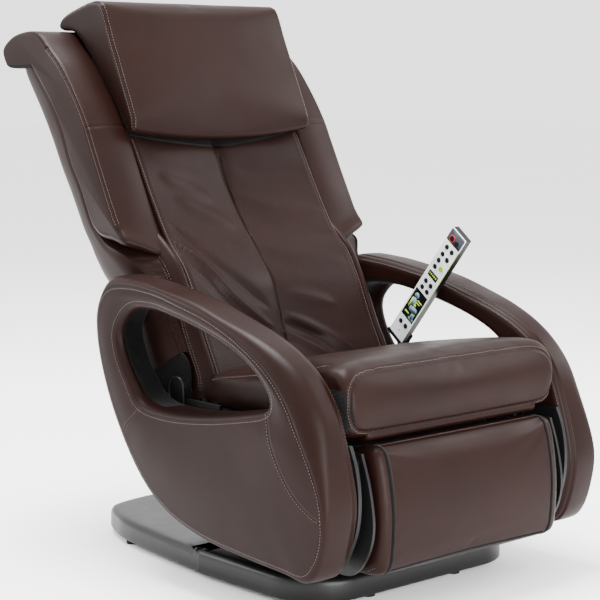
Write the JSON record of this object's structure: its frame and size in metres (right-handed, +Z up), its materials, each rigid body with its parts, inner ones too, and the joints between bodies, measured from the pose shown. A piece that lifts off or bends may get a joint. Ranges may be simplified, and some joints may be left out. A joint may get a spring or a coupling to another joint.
{
  "type": "massage chair",
  "caption": "Reclining massage chair on a swivel base, with looped arms, head pillow, roller carriage, turning ottoman on an extending leg rest, and a keyed hand remote.",
  "frame": {"origin": "on the floor, under the middle of the chair's overall width and depth", "axes": "+Z up, the sitter faces -Y, +X towards the arm with the remote"},
  "size_m": [0.756, 1.1153, 1.165],
  "materials": {
    "base_steel": "black powder coat",
    "base_cover": "satin moulded",
    "feet_rubber": "matt",
    "ring_steel": "turned",
    "chassis_plastic": "grained moulded",
    "frame_steel": "black powder coat",
    "plywood": "unfinished",
    "leather": "espresso brown, smooth",
    "leather_perforated": "espresso brown, finely perforated",
    "back_shell": "brown, leather grain",
    "screw_steel": "black zinc",
    "drive_housing": "moulded",
    "motor_case": "grey",
    "bright_steel": "bright",
    "gusset_cloth": "velour",
    "carriage_plastic": "glass filled",
    "roller_plastic": "smooth",
    "plate_black": "satin black",
    "remote_body": "satin",
    "remote_face": "silk white",
    "remote_screen": "dark",
    "key_dark": "satin",
    "key_green": "satin"
  },
  "bodies": {
    "base": {"base_plate": "base_steel", "base_front_cover": "base_cover", "base_rear_cover": "base_cover", "glide_feet": "feet_rubber", "swivel_ring_lower": "ring_steel"},
    "chassis": {"swivel_ring_upper": "ring_steel", "chassis_tray": "chassis_plastic", "seat_frame": "frame_steel", "seat_pan": "plywood", "seat_cushion": "leather", "arm_left": "leather", "arm_right": "leather", "arm_liners": "chassis_plastic", "liner_screws": "screw_steel", "hinge_covers": "chassis_plastic", "control_box": "chassis_plastic", "rear_cover": "chassis_plastic", "power_inlet": "chassis_plastic", "remote_holder": "chassis_plastic", "dual_drive": "drive_housing", "drive_motors": "motor_case"},
    "backrest": {"back_frame": "frame_steel", "back_shell": "back_shell", "back_wing_left": "leather", "back_wing_right": "leather", "back_pad": "leather_perforated", "guide_rails": "bright_steel", "recline_pins": "bright_steel", "hinge_gussets": "gusset_cloth"},
    "pillow": {"pillow": "leather"},
    "carriage": {"massage_carriage": "carriage_plastic", "carriage_motor": "motor_case"},
    "rollers": {"massage_rollers": "roller_plastic"},
    "back_rod": {"back_drive_rod": "bright_steel"},
    "leg_rod": {"leg_drive_rod": "bright_steel"},
    "legrest": {"legrest_frame": "frame_steel", "legrest_pins": "bright_steel"},
    "leg_slide": {"leg_plate_left": "plate_black", "leg_plate_right": "plate_black"},
    "ottoman": {"ottoman_core": "plywood", "ottoman_pad": "leather", "ottoman_pins": "bright_steel"},
    "remote": {"remote_shell": "remote_body", "remote_face": "remote_face", "remote_screen": "remote_screen"},
    "key_power": {"key_power": "key_dark"},
    "key_pause": {"key_pause": "key_dark"},
    "key_program_1": {"key_program_1": "key_dark"},
    "key_program_2": {"key_program_2": "key_dark"},
    "key_program_3": {"key_program_3": "key_dark"},
    "key_program_4": {"key_program_4": "key_dark"},
    "key_program_5": {"key_program_5": "key_dark"},
    "key_program_6": {"key_program_6": "key_dark"},
    "key_start": {"key_start": "key_green"},
    "key_up": {"key_up": "key_dark"},
    "key_down": {"key_down": "key_dark"},
    "key_left": {"key_left": "key_dark"},
    "key_right": {"key_right": "key_dark"},
    "key_recline": {"key_recline": "key_dark"},
    "key_upright": {"key_upright": "key_dark"}
  },
  "joints": [
    {"name": "seat_swivel", "type": "hinge", "parent": "base", "child": "chassis", "pos_m": [0, -0.02, 0.07], "axis": [0, 0, 1], "continuous": true},
    {"name": "back_recline", "type": "hinge", "parent": "chassis", "child": "backrest", "pos_m": [0, 0, 0.38], "axis": [-1, 0, 0], "range_deg": [0, 38]},
    {"name": "legrest_raise", "type": "hinge", "parent": "chassis", "child": "legrest", "pos_m": [0, -0.41, 0.318], "axis": [-1, 0, 0], "range_deg": [0, 80]},
    {"name": "legrest_extend", "type": "slide", "parent": "legrest", "child": "leg_slide", "axis": [0, 0, -1], "range_m": [0, 0.12]},
    {"name": "ottoman_flip", "type": "hinge", "parent": "leg_slide", "child": "ottoman", "pos_m": [0, -0.492, 0.208], "axis": [-1, 0, 0], "range_deg": [0, 180]},
    {"name": "pillow_height", "type": "slide", "parent": "backrest", "child": "pillow", "axis": [0, 0.5299, 0.848], "range_m": [0, 0.08]},
    {"name": "carriage_travel", "type": "slide", "parent": "backrest", "child": "carriage", "axis": [0, 0.5299, 0.848], "range_m": [0, 0.26]},
    {"name": "roller_spin", "type": "hinge", "parent": "carriage", "child": "rollers", "pos_m": [0, 0.18184, 0.64138], "axis": [1, 0, 0], "continuous": true},
    {"name": "back_drive", "type": "slide", "parent": "chassis", "child": "back_rod", "axis": [0, -1, 0], "range_m": [0, 0.056]},
    {"name": "leg_drive", "type": "slide", "parent": "chassis", "child": "leg_rod", "axis": [0, -1, 0], "range_m": [0, 0.0876]},
    {"name": "remote_lift", "type": "slide", "parent": "chassis", "child": "remote", "axis": [0, -0.6239, 0.7815], "range_m": [0, 0.15]},
    {"name": "power_press", "type": "slide", "parent": "remote", "child": "key_power", "axis": [1, 0, 0], "range_m": [0, 0.0008], "stiffness_N_per_m": 500, "springref_m": -0.0006},
    {"name": "pause_press", "type": "slide", "parent": "remote", "child": "key_pause", "axis": [1, 0, 0], "range_m": [0, 0.0008], "stiffness_N_per_m": 500, "springref_m": -0.0006},
    {"name": "program_1_press", "type": "slide", "parent": "remote", "child": "key_program_1", "axis": [1, 0, 0], "range_m": [0, 0.0008], "stiffness_N_per_m": 500, "springref_m": -0.0006},
    {"name": "program_2_press", "type": "slide", "parent": "remote", "child": "key_program_2", "axis": [1, 0, 0], "range_m": [0, 0.0008], "stiffness_N_per_m": 500, "springref_m": -0.0006},
    {"name": "program_3_press", "type": "slide", "parent": "remote", "child": "key_program_3", "axis": [1, 0, 0], "range_m": [0, 0.0008], "stiffness_N_per_m": 500, "springref_m": -0.0006},
    {"name": "program_4_press", "type": "slide", "parent": "remote", "child": "key_program_4", "axis": [1, 0, 0], "range_m": [0, 0.0008], "stiffness_N_per_m": 500, "springref_m": -0.0006},
    {"name": "program_5_press", "type": "slide", "parent": "remote", "child": "key_program_5", "axis": [1, 0, 0], "range_m": [0, 0.0008], "stiffness_N_per_m": 500, "springref_m": -0.0006},
    {"name": "program_6_press", "type": "slide", "parent": "remote", "child": "key_program_6", "axis": [1, 0, 0], "range_m": [0, 0.0008], "stiffness_N_per_m": 500, "springref_m": -0.0006},
    {"name": "start_press", "type": "slide", "parent": "remote", "child": "key_start", "axis": [1, 0, 0], "range_m": [0, 0.0008], "stiffness_N_per_m": 500, "springref_m": -0.0006},
    {"name": "up_press", "type": "slide", "parent": "remote", "child": "key_up", "axis": [1, 0, 0], "range_m": [0, 0.0008], "stiffness_N_per_m": 500, "springref_m": -0.0006},
    {"name": "down_press", "type": "slide", "parent": "remote", "child": "key_down", "axis": [1, 0, 0], "range_m": [0, 0.0008], "stiffness_N_per_m": 500, "springref_m": -0.0006},
    {"name": "left_press", "type": "slide", "parent": "remote", "child": "key_left", "axis": [1, 0, 0], "range_m": [0, 0.0008], "stiffness_N_per_m": 500, "springref_m": -0.0006},
    {"name": "right_press", "type": "slide", "parent": "remote", "child": "key_right", "axis": [1, 0, 0], "range_m": [0, 0.0008], "stiffness_N_per_m": 500, "springref_m": -0.0006},
    {"name": "recline_press", "type": "slide", "parent": "remote", "child": "key_recline", "axis": [1, 0, 0], "range_m": [0, 0.0008], "stiffness_N_per_m": 500, "springref_m": -0.0006},
    {"name": "upright_press", "type": "slide", "parent": "remote", "child": "key_upright", "axis": [1, 0, 0], "range_m": [0, 0.0008], "stiffness_N_per_m": 500, "springref_m": -0.0006}
  ],
  "couplings": [
    {"joint": "legrest_extend", "follows": "legrest_raise", "m_per_rad": 0.0859},
    {"joint": "leg_drive", "follows": "legrest_raise", "m_per_rad": 0.06259},
    {"joint": "back_drive", "follows": "back_recline", "m_per_rad": 0.08383}
  ]
}
